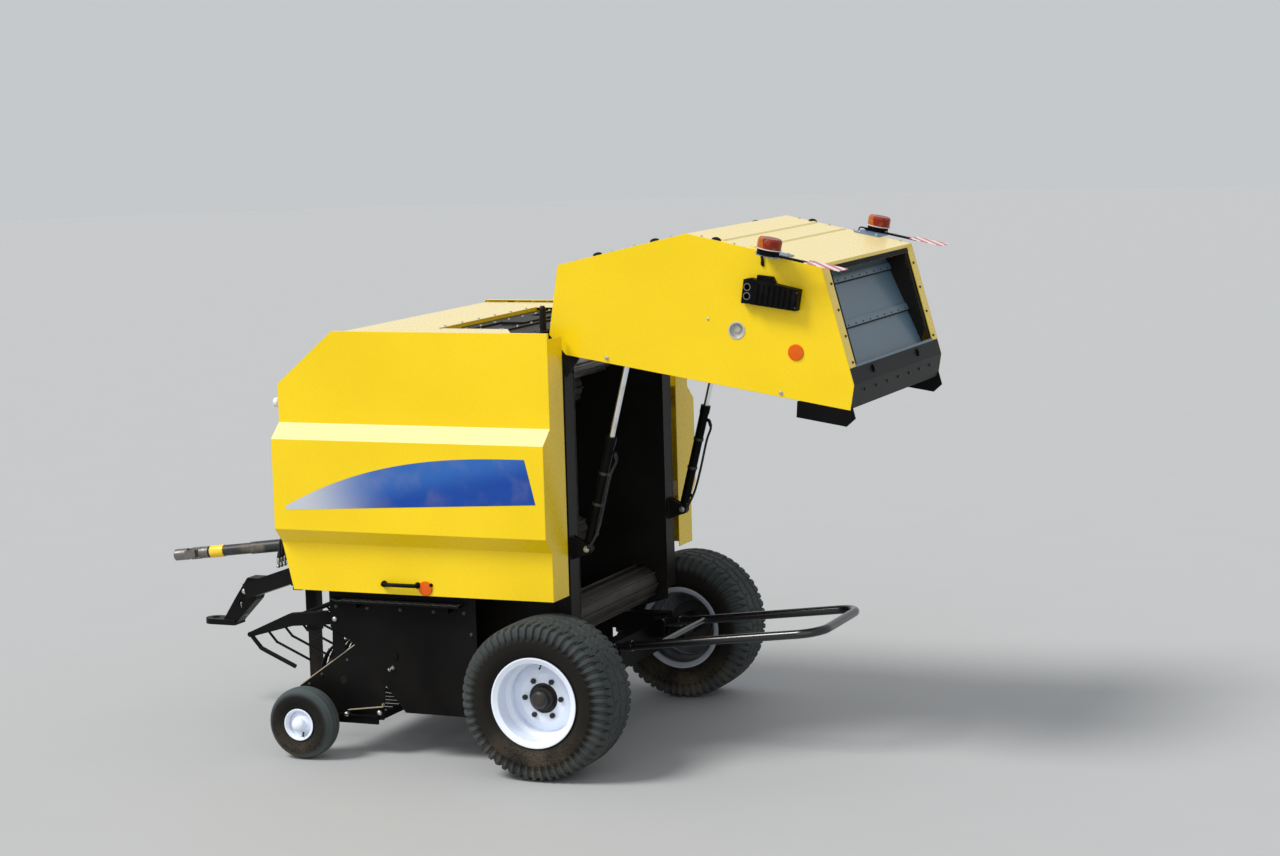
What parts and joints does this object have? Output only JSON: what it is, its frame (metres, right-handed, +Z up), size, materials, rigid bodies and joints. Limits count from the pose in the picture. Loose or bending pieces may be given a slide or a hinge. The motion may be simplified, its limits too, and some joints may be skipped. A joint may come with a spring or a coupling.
{
  "type": "fixed-chamber round baler",
  "caption": "Trailed round baler with a fixed bale chamber, raised tailgate on two cylinders, tined pickup with gauge wheels, drawbar and bale kicker.",
  "frame": {"origin": "on the ground, under the middle of the overall length, on the machine's middle plane", "axes": "+X to the rear, +Y to the machine's right, +Z up"},
  "size_m": [4.4906, 2.43, 2.8203],
  "materials": {
    "black_paint": "gloss black paint",
    "yellow_paint": "gloss yellow paint",
    "white_paint": "gloss white paint",
    "dark_steel": "satin grey paint",
    "worn_steel": "rubbed bright by straw",
    "plate_grey": "satin blue-grey paint",
    "chain_steel": "oiled",
    "rod_chrome": "bright",
    "tyre_rubber": "matt",
    "hub_iron": "black",
    "lamp_plastic": "clear lens",
    "lamp_bracket": "satin",
    "signal_plastic": "ribbed red and amber lens",
    "marker_sheet": "red and white bands",
    "chock_plastic": "matt black",
    "guard_plastic": "matt black",
    "shaft_steel": "greased"
  },
  "bodies": {
    "root": {"main_frame": "black_paint", "wall_left": "black_paint", "wall_right": "black_paint", "drawbar": "black_paint", "hood": "yellow_paint", "top_deck": "black_paint", "gearbox": "dark_steel", "skirts": "black_paint", "feed_floor": "worn_steel", "drive_chain": "chain_steel", "front_lamps": "lamp_plastic", "pto_guard": "guard_plastic"},
    "shield_left": {"shield_left": "yellow_paint"},
    "shield_right": {"shield_right": "yellow_paint"},
    "gate": {"gate_shell": "yellow_paint", "gate_walls": "dark_steel", "gate_elevator": "worn_steel", "gate_plates": "plate_grey", "gate_beam": "black_paint", "gate_lamps": "lamp_bracket", "lamp_lenses": "signal_plastic", "marker_plates": "marker_sheet", "wheel_chocks": "chock_plastic"},
    "barrel_left": {"barrel_left": "black_paint"},
    "barrel_right": {"barrel_right": "black_paint"},
    "rod_left": {"rod_left": "rod_chrome"},
    "rod_right": {"rod_right": "rod_chrome"},
    "wheel_left": {"tyre_left": "tyre_rubber", "rim_left": "white_paint", "hub_left": "hub_iron"},
    "wheel_right": {"tyre_right": "tyre_rubber", "rim_right": "white_paint", "hub_right": "hub_iron"},
    "kicker": {"kicker": "black_paint"},
    "pickup": {"pickup_frame": "black_paint", "pickup_bands": "dark_steel"},
    "reel": {"pickup_reel": "dark_steel"},
    "windguard": {"windguard": "black_paint"},
    "gauge_left": {"gauge_tyre_left": "tyre_rubber", "gauge_rim_left": "white_paint"},
    "gauge_right": {"gauge_tyre_right": "tyre_rubber", "gauge_rim_right": "white_paint"},
    "feed_rotor": {"feed_rotor": "worn_steel"},
    "jack_leg": {"jack_leg": "dark_steel"},
    "pto_shaft": {"pto_shaft": "shaft_steel"},
    "roller_1": {"roller_1": "worn_steel"},
    "roller_2": {"roller_2": "worn_steel"},
    "roller_3": {"roller_3": "worn_steel"},
    "roller_4": {"roller_4": "worn_steel"},
    "roller_5": {"roller_5": "worn_steel"},
    "roller_6": {"roller_6": "worn_steel"},
    "roller_7": {"roller_7": "worn_steel"}
  },
  "joints": [
    {"name": "gate_lift", "type": "hinge", "parent": "root", "child": "gate", "pos_m": [0.67547, 0, 2.2], "axis": [0, 1, 0], "range_deg": [0, 80.5]},
    {"name": "barrel_left_swing", "type": "hinge", "parent": "root", "child": "barrel_left", "pos_m": [0.71947, -0.68, 1.15], "axis": [0, 1, 0], "range_deg": [-4.5, 0]},
    {"name": "rod_left_slide", "type": "slide", "parent": "barrel_left", "child": "rod_left", "axis": [0.2507, 0, 0.9681], "range_m": [-0.472, 0]},
    {"name": "barrel_right_swing", "type": "hinge", "parent": "root", "child": "barrel_right", "pos_m": [0.71947, 0.68, 1.15], "axis": [0, 1, 0], "range_deg": [-4.5, 0]},
    {"name": "rod_right_slide", "type": "slide", "parent": "barrel_right", "child": "rod_right", "axis": [0.2507, 0, 0.9681], "range_m": [-0.472, 0]},
    {"name": "shield_left_swing", "type": "hinge", "parent": "root", "child": "shield_left", "pos_m": [-0.09053, -0.943, 2.3], "axis": [-1, 0, 0], "range_deg": [0, 70]},
    {"name": "shield_right_swing", "type": "hinge", "parent": "root", "child": "shield_right", "pos_m": [-0.09053, 0.943, 2.3], "axis": [1, 0, 0], "range_deg": [0, 70]},
    {"name": "wheel_left_turn", "type": "hinge", "parent": "root", "child": "wheel_left", "pos_m": [0.60947, -1.02, 0.42], "axis": [0, 1, 0], "continuous": true},
    {"name": "wheel_right_turn", "type": "hinge", "parent": "root", "child": "wheel_right", "pos_m": [0.60947, 1.02, 0.42], "axis": [0, 1, 0], "continuous": true},
    {"name": "kicker_swing", "type": "hinge", "parent": "root", "child": "kicker", "pos_m": [0.70947, 0, 0.552], "axis": [0, 1, 0], "range_deg": [0, 12]},
    {"name": "pickup_lift", "type": "hinge", "parent": "root", "child": "pickup", "pos_m": [-0.33053, 0, 0.56], "axis": [0, 1, 0], "range_deg": [0, 7]},
    {"name": "reel_turn", "type": "hinge", "parent": "pickup", "child": "reel", "pos_m": [-0.66053, 0, 0.41], "axis": [0, 1, 0], "continuous": true},
    {"name": "windguard_swing", "type": "hinge", "parent": "pickup", "child": "windguard", "pos_m": [-0.69053, 0, 0.745], "axis": [0, 1, 0], "range_deg": [-8, 3]},
    {"name": "gauge_left_turn", "type": "hinge", "parent": "pickup", "child": "gauge_left", "pos_m": [-0.83053, -1.04, 0.195], "axis": [0, 1, 0], "continuous": true},
    {"name": "gauge_right_turn", "type": "hinge", "parent": "pickup", "child": "gauge_right", "pos_m": [-0.83053, 1.04, 0.195], "axis": [0, 1, 0], "continuous": true},
    {"name": "feed_rotor_turn", "type": "hinge", "parent": "root", "child": "feed_rotor", "pos_m": [-0.19053, 0, 0.62], "axis": [0, 1, 0], "continuous": true},
    {"name": "roller_1_turn", "type": "hinge", "parent": "root", "child": "roller_1", "pos_m": [0.53184, 0, 2.16383], "axis": [0, 1, 0], "continuous": true},
    {"name": "roller_2_turn", "type": "hinge", "parent": "root", "child": "roller_2", "pos_m": [0.25916, 0, 2.05642], "axis": [0, 1, 0], "continuous": true},
    {"name": "roller_3_turn", "type": "hinge", "parent": "root", "child": "roller_3", "pos_m": [0.05013, 0, 1.85101], "axis": [0, 1, 0], "continuous": true},
    {"name": "roller_4_turn", "type": "hinge", "parent": "root", "child": "roller_4", "pos_m": [-0.06202, 0, 1.58024], "axis": [0, 1, 0], "continuous": true},
    {"name": "roller_5_turn", "type": "hinge", "parent": "root", "child": "roller_5", "pos_m": [-0.05946, 0, 1.28718], "axis": [0, 1, 0], "continuous": true},
    {"name": "roller_6_turn", "type": "hinge", "parent": "root", "child": "roller_6", "pos_m": [0.0574, 0, 1.01842], "axis": [0, 1, 0], "continuous": true},
    {"name": "roller_7_turn", "type": "hinge", "parent": "root", "child": "roller_7", "pos_m": [0.48166, 0, 0.72683], "axis": [0, 1, 0], "continuous": true},
    {"name": "pto_shaft_turn", "type": "hinge", "parent": "root", "child": "pto_shaft", "pos_m": [-0.99053, 0, 1.03], "axis": [-0.9925, 0, -0.1219], "continuous": true},
    {"name": "jack_slide", "type": "slide", "parent": "root", "child": "jack_leg", "axis": [0, 0, 1], "range_m": [0, 0.36]}
  ],
  "couplings": [
    {"joint": "barrel_left_swing", "follows": "gate_lift", "ratio": -0.052976},
    {"joint": "rod_left_slide", "follows": "gate_lift", "m_per_rad": -0.33397},
    {"joint": "barrel_right_swing", "follows": "gate_lift", "ratio": -0.052976},
    {"joint": "rod_right_slide", "follows": "gate_lift", "m_per_rad": -0.33397},
    {"joint": "roller_2_turn", "follows": "roller_1_turn", "ratio": 1},
    {"joint": "roller_3_turn", "follows": "roller_1_turn", "ratio": 1},
    {"joint": "roller_4_turn", "follows": "roller_1_turn", "ratio": 1},
    {"joint": "roller_5_turn", "follows": "roller_1_turn", "ratio": 1},
    {"joint": "roller_6_turn", "follows": "roller_1_turn", "ratio": 1},
    {"joint": "roller_7_turn", "follows": "roller_1_turn", "ratio": -1}
  ]
}
